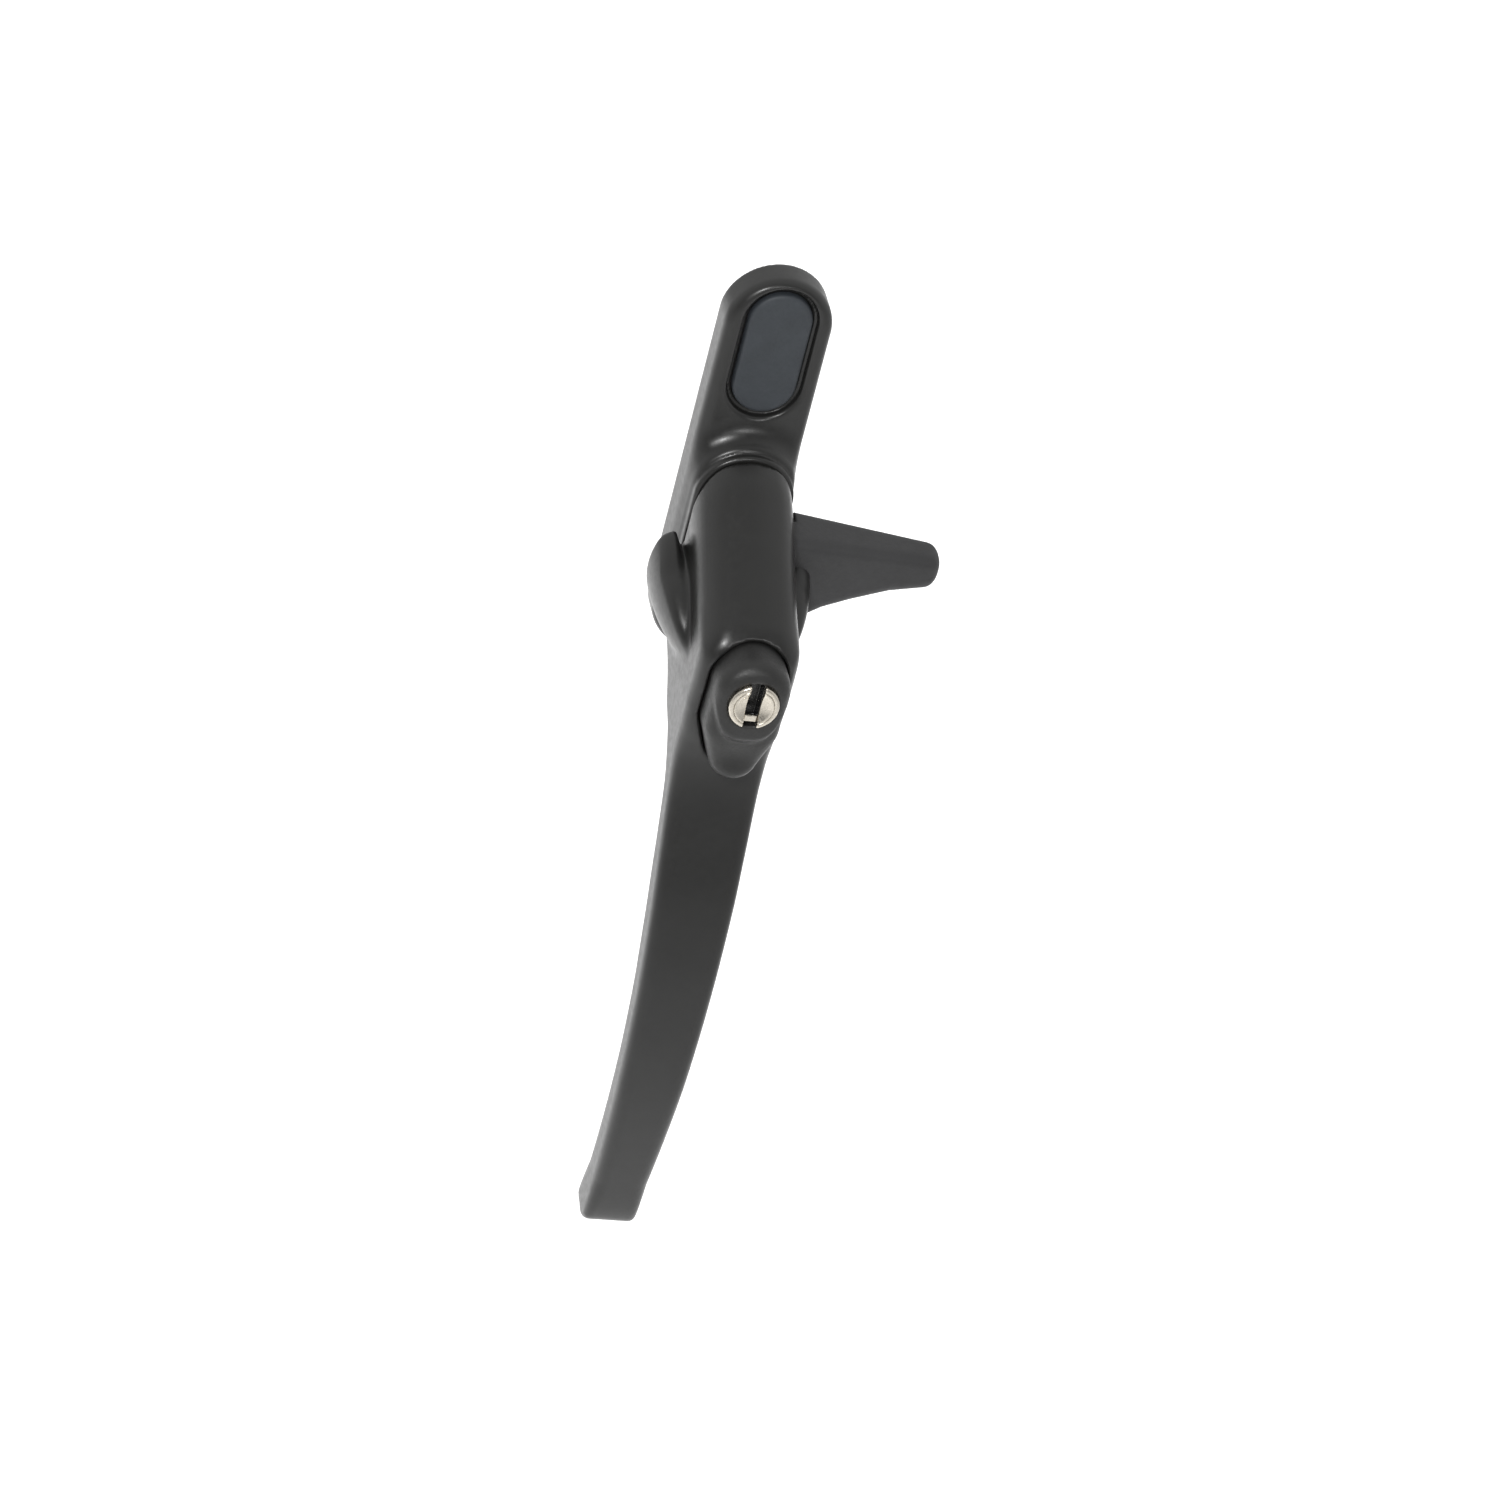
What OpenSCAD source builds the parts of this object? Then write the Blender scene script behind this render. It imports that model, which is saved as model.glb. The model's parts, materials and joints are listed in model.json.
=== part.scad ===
// Locking cockspur window handle: a base plate that screws to the sash, a turning
// casting with lever and nose, and a push-button key lock in the neck.
// The modules lay the handle flat on its back: x across the plate, y up the plate and
// z out of the window, from the middle of the two fixing holes. stand() turns it upright.

/* [Base plate] */
// Width of the base plate
plate_w = 20; // [19:0.5:22]
// Distance between the two fixing holes
hole_pitch = 58; // [56:0.5:60]
// Thickness of the plate at its ends
plate_t = 7; // [6:0.5:8]
// Height of the turning boss above the back face
boss_h = 12; // [11.5:0.5:13]
// Diameter of the fixing holes
fixing_d = 4.5; // [4:0.1:5]

/* [Lever] */
// Distance from the pivot to the lever's tip
lever_reach = 130; // [120:1:140]
// Height of the lever's front face at its highest point
lever_top = 50.6; // [48:0.2:53]
// Thickness of the lever
lever_t = 9.8; // [9:0.2:11]
// Width of the lever at its root
lever_root_w = 17.4; // [15:0.2:18]
// Width of the lever near its tip
lever_tip_w = 10.6; // [9:0.2:12]

/* [Nose] */
// Distance from the pivot to the nose's tip
nose_reach = 39; // [34:0.5:42]
// Height of the nose's underside above the back face
nose_h = 9; // [8:0.5:10]

/* [Lock] */
// Travel of the lock button
button_travel = 5; // [4:0.5:5]
// Diameter of the key barrel's face
barrel_d = 8.8; // [8.8:0.2:9.6]

/* [Hidden] */
$fn = 64;

// colours
casting_black = [0.18, 0.18, 0.18];
cap_grey = [0.25, 0.26, 0.28];
button_black = [0.14, 0.14, 0.14];
nose_grey = [0.28, 0.28, 0.28];
nickel = [0.78, 0.76, 0.72];
steel = [0.62, 0.63, 0.65];
brass = [0.80, 0.65, 0.35];
nylon = [0.90, 0.90, 0.86];

e = 0.01;                       // overlap of joined shapes and of cutting tools
far = 200;                      // longer than anything it cuts

// base plate
plate_r = plate_w / 2;
hole_y = hole_pitch / 2;
fixing_r = fixing_d / 2;
pivot_y = -12.5;                // pivot, from the middle of the fixing holes
top_y = hole_y + 6.5;           // centre of the plate's upper round end
low_y = pivot_y - 13.2;          // centre of the plate's lower round end
collar_y = pivot_y + 14.6;      // centre of the collar's round end
plate_round = 1.8;
boss_round = 1.2;
countersink_r = 4.2;

// screw cap and its recess
cap_y = hole_y + 1.4;
cap_r = 5.95;
cap_half = 6.6;                 // half of the straight part of the oval
cap_floor = 4.2;
cap_step = 5.6;                 // the recess is wide above this height and snug below it
cap_gap = 0.95;
cap_face = plate_t - 0.2;

// pivot stack, from the back face outwards
recess_r = 8;
recess_h = 4;
spindle_r = 4;
spindle_low = 0.6;
spindle_top = 22;
groove_r = 3.3;
ring_r = 6;
ring_low = 1.4;
ring_top = 2.2;
run_gap = 0.05;                 // running clearance
under = boss_h + 0.45;          // underside of the turning casting

// stop, detent and locking positions on one circle round the pivot
track_r = 7.5;
lock_angle = -90;
stop_angle = 115;
ball_angle = 75;
swing = 90;
pin_r = 1.6;
pin_hole_floor = 5;
pin_tip = under + 0.45;
stop_r = 1.25;
stop_floor = 6;
stop_top = under + 2;
ball_r = 1.5;
ball_z = under + 0.15;
ball_bore_top = 18.5;

// hub, neck and lever
hub_r = 14.8;
hub_top = 19;
hub_cut = 7.5;                  // the hub's ears end this far above the pivot
neck_w = 19.2;
neck_r = 9.4;
neck_end = 14;                  // centre of the neck's round end, above the pivot
neck_foot = 23.2;
arc_y = -88;                    // highest point of the lever's front face
arc_r = 178;
arc_z = lever_top - arc_r;
tip_r = 3;
// side outline of the neck: up the front ridge, over the lock and back under the lever's root
neck_side = [[neck_foot, under], [neck_foot - 0.6, under + 2], [16, 25], [9.6, 34.2], [6.2, 39],
    [4.2, 41.4],
    [2, 42.4], [-6, 42.4], [-17, 41.3], [-21, 40.2], [-27, 40], [-36, 41.8], [-40, 34], [-33, 32.6],
    [-28, 29.6], [-24, 25.2], [-20, 21.4], [-17, 17.4], [-15.6, under]];

// nose
nose_face = nose_h + 9.4;       // front face of the nose at its root
nose_root_x = neck_w / 2 + 0.1;
nose_clear_x = plate_r + 0.35;   // the nose keeps clear of the turning boss below the casting
tenon_x = 5.8;
tenon_low = -3;
tenon_high = 5;
tenon_top = 17;
nose_pin_x = 7.6;
nose_pin_y = 1;
nose_pin_r = 0.9;
// plan outline: the upper edge is straight, the lower edge flares into the hub
nose_plan = [[nose_root_x, 11.4], [nose_reach - 1.5, 7.8], [nose_reach, 6.4], [nose_reach, 3.2],
    [nose_reach - 1.5, 1.6], [nose_reach - 9, 0], [24, -1.9], [19, -4], [15.5, -6.8],
    [nose_root_x + 3, -9.5], [nose_root_x, -9.5]];

// side outline
nose_side = [[nose_root_x, under], [nose_clear_x, under], [nose_clear_x, nose_h],
    [nose_reach - 1, nose_h + 0.6], [nose_reach, nose_h + 1.6], [nose_reach, nose_h + 5.6],
    [nose_reach - 1, nose_h + 6.8], [nose_root_x, nose_face]];

// lock
lock_y = -4.5;                  // key axis, below the pivot
oval_r = 7;
oval_top = -3.4;                // centre of the button's upper round end
oval_mid = -11.5;               // below this the button narrows to its thumb end
thumb_r = 5.2;
thumb_y = -17.8;                // centre of the thumb end
oval_gap = 0.15;
pocket_floor = 24;
button_low = 32;
button_face = 48.8;
button_round = 2;
scoop_r = 10;
scoop_y = -17.6;
scoop_deep = 1.1;
barrel_r = barrel_d / 2;
barrel_face = 50;
foot_r = 5.6;
foot_low = 30;
plug_r = barrel_r - 0.7;
plug_low = 33.6;
keyway_w = 2.2;
keyway_h = 5.8;
keyway_low = 36.2;
wafer_t = 0.6;
wafer_pitch = 2.6;
wafer_count = 4;
wafer_low = 37.4;
wafer_w = 4.2;
wafer_h = 5.6;
wafer_spring_x = 1.75;
wafer_spring_r = 0.35;
wafer_wire = 0.1;
shoulder_y = 0.4;               // each wafer's shoulder, which its spring pushes on
spring_l = 2.9;
latch_w = 3;
latch_low = plug_low + 0.1;
latch_h = 2;
latch_in = plug_r + 0.12;
latch_out = 8.2;
cam_fall = 0.5;                 // fall of the cam's radius, in mm per radian
cross_r = 1;
cross_y = -17.5;
cross_z = 33.8;
cross_half = 8.4;               // half of the cross pin's length
spring_y = -14.5;

module stand() rotate([90, 0, 0]) children();
module at_pivot() translate([0, pivot_y, 0]) children();
module on_track(angle) rotate([0, 0, angle]) translate([track_r, 0, 0]) children();

// an upright cylinder between two heights
module post(r, low, high) translate([0, 0, low]) cylinder(r = r, h = high - low);

// a flat ring between two heights
module ring(inner, outer, low, high) rotate_extrude()
    translate([inner, low]) square([outer - inner, high - low]);

// an oval bar between two heights, along y
module oval(r, y0, y1, low, high) {
    translate([0, y0, 0]) post(r, low, high);
    translate([0, y1, 0]) post(r, low, high);
    translate([-r, y0, low]) cube([2 * r, y1 - y0, high - low]);
}

// half of a wall's section, with its top edge rounded
module round_half(r, low, high, edge) {
    translate([0, low]) square([r, high - edge - low]);
    translate([0, high - edge - e]) square([r - edge, edge + e]);
    translate([r - edge, high - edge]) intersection() {
        circle(r = edge);
        square(edge);
    }
}

// an oval bar whose top edge is rounded
module round_oval(r, y0, y1, low, high, edge) {
    for (y = [y0, y1]) translate([0, y, 0]) rotate_extrude() round_half(r, low, high, edge);
    translate([0, y1, 0]) rotate([90, 0, 0]) linear_extrude(y1 - y0) {
        round_half(r, low, high, edge);
        mirror([1, 0]) round_half(r, low, high, edge);
    }
}

// a coil spring: a round wire swept along a helix, as one polyhedron
module coil(wire, r, low, high, turns, sides = 6, steps = 14) {
    count = turns * steps;
    climb = (high - low - 2 * wire) / turns / 360;
    function turn(i) = i * 360 / steps;
    points = [for (i = [0:count]) for (j = [0:sides - 1])
        let (a = turn(i), b = j * 360 / sides, out = r + wire * cos(b))
        [out * cos(a), out * sin(a), low + wire + climb * a + wire * sin(b)]];
    sleeve = [for (i = [0:count - 1]) for (j = [0:sides - 1])
        let (k = (j + 1) % sides, a = i * sides, b = a + sides)
        each [[a + j, a + k, b + k], [a + j, b + k, b + j]]];
    ends = [[for (j = [0:sides - 1]) sides - 1 - j], [for (j = [0:sides - 1]) count * sides + j]];
    polyhedron(points, concat(sleeve, ends));
}

module base_plate() color(casting_black) difference() {
    union() {
        round_oval(plate_r, low_y, top_y, 0, plate_t, plate_round);
        round_oval(plate_r, pivot_y, collar_y, 0, boss_h, boss_round);
    }
    translate([0, cap_y, 0]) {
        oval(cap_r + cap_gap, -cap_half, cap_half, cap_step, plate_t + e);
        oval(cap_r + run_gap, -cap_half, cap_half, cap_floor, cap_step + e);
    }
    for (y = [-hole_y, hole_y]) translate([0, y, 0]) post(fixing_r, -e, plate_t + e);
    translate([0, -hole_y, plate_t - countersink_r + fixing_r])
        cylinder(r1 = fixing_r, r2 = countersink_r, h = countersink_r - fixing_r + e);
    at_pivot() {
        post(spindle_r + run_gap, -e, boss_h + e);
        post(recess_r, -e, recess_h);
        for (turn = [0, swing]) on_track(lock_angle - turn)
            post(pin_r + 0.2, pin_hole_floor, boss_h + e);
        on_track(stop_angle) post(stop_r, stop_floor, boss_h + e);
        ball_track();
    }
}

// the shallow groove that the detent ball runs in, with a round end at each stop
module ball_track() {
    groove_r = ball_r + 0.1;
    rotate([0, 0, ball_angle - swing]) rotate_extrude(angle = swing)
        translate([track_r, ball_z]) circle(r = groove_r);
    for (turn = [0, swing]) on_track(ball_angle - turn) translate([0, 0, ball_z])
        sphere(r = groove_r);
}

module cover_cap() color(cap_grey) translate([0, cap_y, 0]) difference() {
    round_oval(cap_r, -cap_half, cap_half, cap_floor, cap_face, 0.4);
    translate([0, hole_y - cap_y, 0]) post(countersink_r, cap_floor - e, cap_step);
}

module stop_pin() color(steel) at_pivot() on_track(stop_angle) post(stop_r, stop_floor, stop_top);

module thrust_washer() color(nylon) at_pivot() ring(spindle_r + 0.15, 5.9, boss_h, under - run_gap);

module spring_washer() color(steel) at_pivot() rotate_extrude()
    polygon([[4.3, 3.05], [7.4, recess_h - 0.5], [7.4, recess_h], [4.3, 3.55]]);

module flat_washer() color(steel) at_pivot() ring(spindle_r + 0.15, 6.8, ring_top + run_gap, 3.05);

module retaining_ring() color(steel) at_pivot() difference() {
    ring(groove_r, ring_r, ring_low, ring_top);
    translate([0, -1.4, ring_low - e]) cube([ring_r + 1, 2.8, 2]);
}

module pivot_spindle() color(steel) at_pivot() difference() {
    post(spindle_r, spindle_low, spindle_top);
    ring(groove_r, spindle_r + 1, ring_low, ring_top);
}

// the lever's plan outline, from its root to its rounded tip
module lever_plan() {
    root = lever_root_w / 2;
    tip = lever_tip_w / 2;
    tip_y = -lever_reach + tip_r;
    polygon([[-root, -30], [root, -30], [tip, tip_y], [-tip, tip_y]]);
    for (side = [-1, 1]) translate([side * (tip - tip_r), tip_y]) circle(r = tip_r);
    translate([tip_r - tip, -lever_reach]) square([2 * (tip - tip_r), 2 * tip_r]);
}

module lever() intersection() {
    translate([0, arc_y, arc_z]) rotate([0, 90, 0]) difference() {
        cylinder(r = arc_r, h = far, center = true, $fn = 180);
        cylinder(r = arc_r - lever_t, h = far + 1, center = true, $fn = 180);
    }
    linear_extrude(far) lever_plan();
}

module neck() intersection() {
    translate([-neck_w, 0, 0]) rotate([90, 0, 90]) linear_extrude(2 * neck_w) polygon(neck_side);
    union() {
        translate([0, neck_end, 0]) post(neck_r, 0, far);
        translate([-neck_r, -10, 0]) cube([2 * neck_r, neck_end + 10, far]);
        translate([-neck_w / 2, -24, 0]) cube([neck_w, 24, far]);
        linear_extrude(far) polygon([[-neck_w / 2, -24 + e], [neck_w / 2, -24 + e],
            [lever_root_w / 2, -36], [-lever_root_w / 2, -36]]);
    }
}

module hub() intersection() {
    post(hub_r, under, hub_top);
    translate([-hub_r, -hub_r, 0]) cube([2 * hub_r, hub_r + hub_cut, far]);
}

// the groove in the casting's underside that runs over the stop pin
module stop_groove() {
    half = stop_r + 0.2;
    rotate([0, 0, stop_angle]) rotate_extrude(angle = swing)
        translate([track_r - half, under - e]) square([2 * half, stop_top - under + 0.3]);
    for (turn = [0, swing]) on_track(stop_angle + turn) post(half, under - e, stop_top + 0.3 - e);
}

module handle_casting() color(casting_black) at_pivot() difference() {
    union() {
        neck();
        lever();
        hub();
    }
    post(spindle_r, under - e, spindle_top);
    stop_groove();
    on_track(ball_angle) post(ball_r + 0.1, under - e, ball_bore_top);
    on_track(lock_angle) post(pin_r + 0.15, under - e, pocket_floor + e);
    oval(oval_r + oval_gap, oval_mid, oval_top, pocket_floor, far);
    oval(thumb_r + oval_gap, thumb_y, oval_mid, pocket_floor, far);
    translate([-latch_out - 0.1, lock_y - latch_w / 2 - 0.1, latch_low - button_travel - 0.2])
        cube([2, latch_w + 0.2, latch_h + button_travel + 0.4]);
    translate([-cross_half, cross_y, cross_z]) rotate([0, 90, 0]) cylinder(r = cross_r, h = 20);
    translate([nose_root_x - 0.1, -far / 2, 0]) cube([far, far, nose_face + e]);
    translate([tenon_x, tenon_low, under - e])
        cube([far, tenon_high - tenon_low, tenon_top - under + e]);
    translate([nose_pin_x, nose_pin_y, 0]) post(nose_pin_r, under - e, hub_top);
}

// the nose tapers in plan and in thickness; its tenon sits in the casting
module nose() color(nose_grey) at_pivot() difference() {
    union() {
        intersection() {
            linear_extrude(far) polygon(nose_plan);
            rotate([90, 0, 0]) linear_extrude(far, center = true) polygon(nose_side);
        }
        translate([tenon_x, tenon_low, under])
            cube([nose_root_x - tenon_x + e, tenon_high - tenon_low, tenon_top - under]);
    }
    translate([nose_pin_x, nose_pin_y, 0]) post(nose_pin_r, 0, far);
}

module nose_pin() color(steel) at_pivot() translate([nose_pin_x, nose_pin_y, 0])
    post(nose_pin_r, under, hub_top);

module detent_ball() color(steel) at_pivot() on_track(ball_angle) translate([0, 0, ball_z])
    sphere(r = ball_r);

module detent_spring() color(steel) at_pivot() on_track(ball_angle)
    coil(0.2, 1.1, ball_z + ball_r, ball_bore_top, 4, 6, 12);

module cross_pin() color(steel) at_pivot() translate([-cross_half, cross_y, cross_z]) rotate([0, 90, 0])
    cylinder(r = cross_r, h = 2 * cross_half);

module return_spring() color(steel) at_pivot() translate([0, spring_y, 0])
    coil(0.3, 2.8, pocket_floor, button_low, 5);

// the slot through the button's and the barrel's left side that the latch slides in
module latch_slot() translate([-far, lock_y - latch_w / 2 - 0.1, latch_low - 0.1])
    cube([far, latch_w + 0.2, latch_h + 0.2]);

module lock_button() color(button_black) at_pivot() difference() {
    union() {
        round_oval(oval_r, oval_mid, oval_top, button_low, button_face, button_round);
        round_oval(thumb_r, thumb_y, oval_mid, button_low, button_face, button_round);
    }
    translate([-far / 2, scoop_y, button_face - scoop_deep + scoop_r]) rotate([0, 90, 0])
        cylinder(r = scoop_r, h = far);
    translate([0, lock_y, 0]) post(barrel_r, button_low - e, far);
    latch_slot();
    translate([-far / 2, cross_y - cross_r - 0.15, cross_z - cross_r - 0.15])
        cube([far, 2 * cross_r + 0.3, 2 * cross_r + button_travel + 0.3]);
}

module lock_barrel() color(nickel) at_pivot() difference() {
    union() {
        translate([0, lock_y, 0]) post(barrel_r, foot_low, barrel_face);
        translate([0, lock_y, 0]) post(foot_r, foot_low, button_low);
    }
    translate([0, lock_y, 0]) post(plug_r + run_gap, plug_low - run_gap, far);
    on_track(lock_angle) post(pin_r, foot_low - e, button_low);
    latch_slot();
    translate([-keyway_w / 2, lock_y - barrel_r - 1, barrel_face - 1])
        cube([keyway_w, 2 * barrel_r + 2, 2]);
}

module locking_pin() color(steel) at_pivot() on_track(lock_angle) post(pin_r, pin_tip, button_low);

module keyway() translate([-keyway_w / 2, -keyway_h / 2, keyway_low]) cube([keyway_w, keyway_h, far]);

// one wafer's outline, for the wafer itself and, a little larger, for its slot
module wafer_at(i, gap)
    translate([-wafer_w / 2 - gap, -wafer_h / 2 - gap, wafer_low + i * wafer_pitch - gap])
    cube([wafer_w + 2 * gap, wafer_h + 2 * gap, wafer_t + 2 * gap]);

// puts something on each wafer's spring axis, pointing down the plate from the wafer's shoulder
module at_wafer_spring(i)
    translate([wafer_spring_x, shoulder_y - 0.05, wafer_low + wafer_t / 2 + i * wafer_pitch])
    rotate([90, 0, 0]) children();

// the cam at the plug's foot: its radius falls evenly over a quarter turn, which draws the latch in
function cam_radius(a) = a <= 180 || a > 315 ? plug_r + 0.5
    : plug_r - cam_fall * min(a - 180, swing) * PI / 180;
module cam() linear_extrude(latch_low + latch_h + 0.2)
    polygon([for (a = [0:5:355]) cam_radius(a) * [cos(a), sin(a)]]);

module key_plug() color(nickel) at_pivot() translate([0, lock_y, 0]) difference() {
    post(plug_r, plug_low, barrel_face);
    difference() {
        ring(0, plug_r + 1, plug_low - e, latch_low + latch_h + 0.1);
        cam();
    }
    keyway();
    for (i = [0:wafer_count - 1]) {
        wafer_at(i, 0.1);
        at_wafer_spring(i) post(wafer_spring_r + wafer_wire + 0.05, 0, spring_l + 0.05);
    }
}

// each wafer has a window for the key and a notch for its spring
module wafers() color(brass) at_pivot() translate([0, lock_y, 0]) for (i = [0:wafer_count - 1])
    difference() {
        wafer_at(i, 0);
        translate([-0.9, -1.9, 0]) cube([1.8, 3.8, far]);
        translate([wafer_spring_x - wafer_spring_r - wafer_wire - 0.05, shoulder_y - far, 0])
            cube([far, far, far]);
    }

module wafer_springs() color(steel) at_pivot() translate([0, lock_y, 0])
    for (i = [0:wafer_count - 1]) at_wafer_spring(i)
        coil(wafer_wire, wafer_spring_r, 0, spring_l, 5, 6, 8);

module side_latch() color(brass) at_pivot()
    translate([-latch_out, lock_y - latch_w / 2, latch_low]) cube([latch_out - latch_in, latch_w, latch_h]);

stand() base_plate();
stand() cover_cap();
stand() stop_pin();
stand() thrust_washer();
stand() spring_washer();
stand() flat_washer();
stand() retaining_ring();
stand() pivot_spindle();
stand() handle_casting();
stand() nose();
stand() nose_pin();
stand() detent_ball();
stand() detent_spring();
stand() cross_pin();
stand() return_spring();
stand() lock_button();
stand() lock_barrel();
stand() locking_pin();
stand() key_plug();
stand() wafers();
stand() wafer_springs();
stand() side_latch();
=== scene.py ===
"""Looks for the locking cockspur window handle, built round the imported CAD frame.

The visible castings are signed distance fields turned into meshes. Each field is a function of
points in millimetres in the handle's flat frame: x across the plate, y up the plate from the pivot,
z out of the window from the back face. place() turns a finished mesh into the row frame in metres.
"""
import json
import math

import bpy
import numpy as np
from mathutils import Matrix, Vector


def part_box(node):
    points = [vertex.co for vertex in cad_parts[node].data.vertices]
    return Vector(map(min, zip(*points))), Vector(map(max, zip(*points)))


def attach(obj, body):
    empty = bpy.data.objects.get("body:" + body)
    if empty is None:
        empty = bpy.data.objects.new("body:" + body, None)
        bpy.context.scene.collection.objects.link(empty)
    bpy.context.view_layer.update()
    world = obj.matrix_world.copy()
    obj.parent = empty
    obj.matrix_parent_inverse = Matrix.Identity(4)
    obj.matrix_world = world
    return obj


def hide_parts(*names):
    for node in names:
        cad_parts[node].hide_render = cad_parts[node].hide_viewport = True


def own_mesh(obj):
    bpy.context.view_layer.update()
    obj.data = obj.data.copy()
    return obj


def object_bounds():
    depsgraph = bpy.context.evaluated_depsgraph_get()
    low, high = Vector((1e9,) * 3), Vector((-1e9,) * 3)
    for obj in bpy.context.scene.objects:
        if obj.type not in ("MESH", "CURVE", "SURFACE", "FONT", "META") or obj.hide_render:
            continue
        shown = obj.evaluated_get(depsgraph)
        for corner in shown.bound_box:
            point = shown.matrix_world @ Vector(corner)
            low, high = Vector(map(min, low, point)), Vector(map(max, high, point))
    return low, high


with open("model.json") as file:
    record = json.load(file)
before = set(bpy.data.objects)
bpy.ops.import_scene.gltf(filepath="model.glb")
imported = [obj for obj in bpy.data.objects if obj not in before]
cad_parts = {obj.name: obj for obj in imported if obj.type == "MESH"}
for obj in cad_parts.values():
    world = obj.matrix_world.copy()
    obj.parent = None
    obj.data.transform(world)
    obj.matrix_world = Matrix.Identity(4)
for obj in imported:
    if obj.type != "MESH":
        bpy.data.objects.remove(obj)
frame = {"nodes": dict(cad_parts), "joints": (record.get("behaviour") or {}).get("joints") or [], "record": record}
cad_box = [list(corner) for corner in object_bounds()]

MM = 0.001
joints = {joint["name"]: joint for joint in frame["joints"]}


# ---------------------------------------------------------------- driving dimensions, in mm
def node_box(name):
    """A CAD node's lowest and highest corner in the flat frame."""
    low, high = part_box(name)
    lowest = np.array([low.x, low.z - PIVOT, -high.y]) / MM
    highest = np.array([high.x, high.z - PIVOT, -low.y]) / MM
    return lowest, highest


PIVOT = joints["handle_turn"]["pos_m"][2]
plate_low, plate_high = node_box("base_plate")
cap_low, cap_high = node_box("cover_cap")
casting_low, casting_high = node_box("handle_casting")
nose_low, nose_high = node_box("nose")
button_low, button_high = node_box("lock_button")
barrel_low = node_box("lock_barrel")[0]
plug_low, plug_high = node_box("key_plug")
spindle_high = node_box("pivot_spindle")[1]
pin_low, pin_high = node_box("locking_pin")
latch_low, latch_high = node_box("side_latch")
coil_low, coil_high = node_box("return_spring")

PLATE_R = plate_high[0]
PLATE_T = 7.0                                   # the plate's thickness
BOSS_H = plate_high[2]                          # the plate's highest face, just under the casting
UNDER = casting_low[2]                          # the turning casting's underside
LOCK_Y = (plug_low[1] + plug_high[1]) / 2
PIN_Y = (pin_low[1] + pin_high[1]) / 2
PLUG_R = plug_high[0]
PLUG_FACE = plug_high[2]


# ---------------------------------------------------------------- distance field tools
def smin(a, b, k):
    """The union of two fields, with a fillet about k wide."""
    h = np.maximum(k - np.abs(a - b), 0) / k
    return np.minimum(a, b) - h * h * k / 4


def smax(a, b, k):
    """The intersection of two fields, with an edge rounded over about k."""
    return -smin(-a, -b, k)


def cut(a, b, k=0.5):
    """Field a with field b taken away."""
    return smax(a, -b, k)


def disc(p, x, y, r):
    """A round bar along z."""
    return np.hypot(p[0] - x, p[1] - y) - r


def oval(p, y0, y1, r):
    """An oval bar's plan, along y."""
    return np.hypot(p[0], p[1] - np.clip(p[1], y0, y1)) - r


def ramp(v, v0, v1, a, b):
    """From a at v0 to b at v1, eased at both ends."""
    t = np.clip((v - v0) / (v1 - v0), 0, 1)
    return a + (b - a) * t * t * (3 - 2 * t)


def sample(field, low, high, step, block=8):
    """The field on a grid. Blocks of it that lie far from the surface hold their sign only."""
    count = np.ceil((high - low) / step / block).astype(int) + 1
    size = block * step
    corner = np.stack(np.meshgrid(*[np.arange(n) for n in count], indexing="ij"), -1).reshape(-1, 3)
    middle = field((low + (corner + 0.5) * size).T)
    values = np.where(middle < 0, -1.0, 1.0).astype(np.float32)
    values = np.repeat(values[:, None], block ** 3, 1)
    near = np.nonzero(np.abs(middle) < size * 1.6)[0]
    inner = np.stack(np.meshgrid(*[np.arange(block)] * 3, indexing="ij"), -1).reshape(-1, 3)
    for part in np.array_split(near, max(1, len(near) // 400)):
        points = low + (corner[part][:, None, :] * block + inner[None]) * step
        values[part] = field(points.reshape(-1, 3).T).reshape(len(part), -1)
    values = values.reshape(*count, block, block, block).transpose(0, 3, 1, 4, 2, 5)
    return values.reshape(*(count * block))


def surface_net(values):
    """Vertices, in grid steps, and quads of the surface where the field is zero."""
    inside = values < 0
    shape = np.array(values.shape)
    cells, spots, quads = [], [], []
    for axis in range(3):
        a = [slice(None)] * 3
        b = [slice(None)] * 3
        a[axis], b[axis] = slice(None, -1), slice(1, None)
        crossing = inside[tuple(a)] != inside[tuple(b)]
        start = np.argwhere(crossing)
        start = start[np.all((start > 0) & (start < shape - 2), 1)]
        i = tuple(start.T)
        first = values[tuple(a)][i]
        share = first / (first - values[tuple(b)][i])
        spot = start.astype(float)
        spot[:, axis] += share
        u, v = (axis + 1) % 3, (axis + 2) % 3
        ring = []
        for du, dv in ((0, 0), (-1, 0), (-1, -1), (0, -1)):
            cell = start.copy()
            cell[:, u] += du
            cell[:, v] += dv
            ring.append(np.ravel_multi_index(tuple(cell.T), values.shape))
            spots.append(spot)
        cells += ring
        quad = np.stack(ring, 1)
        flip = ~inside[tuple(a)][i]
        quad[flip] = quad[flip][:, ::-1]
        quads.append(quad)
    names, order = np.unique(np.concatenate(cells), return_inverse=True)
    spots = np.concatenate(spots)
    count = np.bincount(order)
    vertices = np.stack([np.bincount(order, spots[:, k]) / count for k in range(3)], 1)
    return vertices, np.searchsorted(names, np.concatenate(quads))


def gradient(field, points, h=0.02):
    """The field's slope at each point."""
    steps = np.eye(3) * h
    return np.stack([(field((points + s).T) - field((points - s).T)) / (2 * h) for s in steps], 1)


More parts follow.
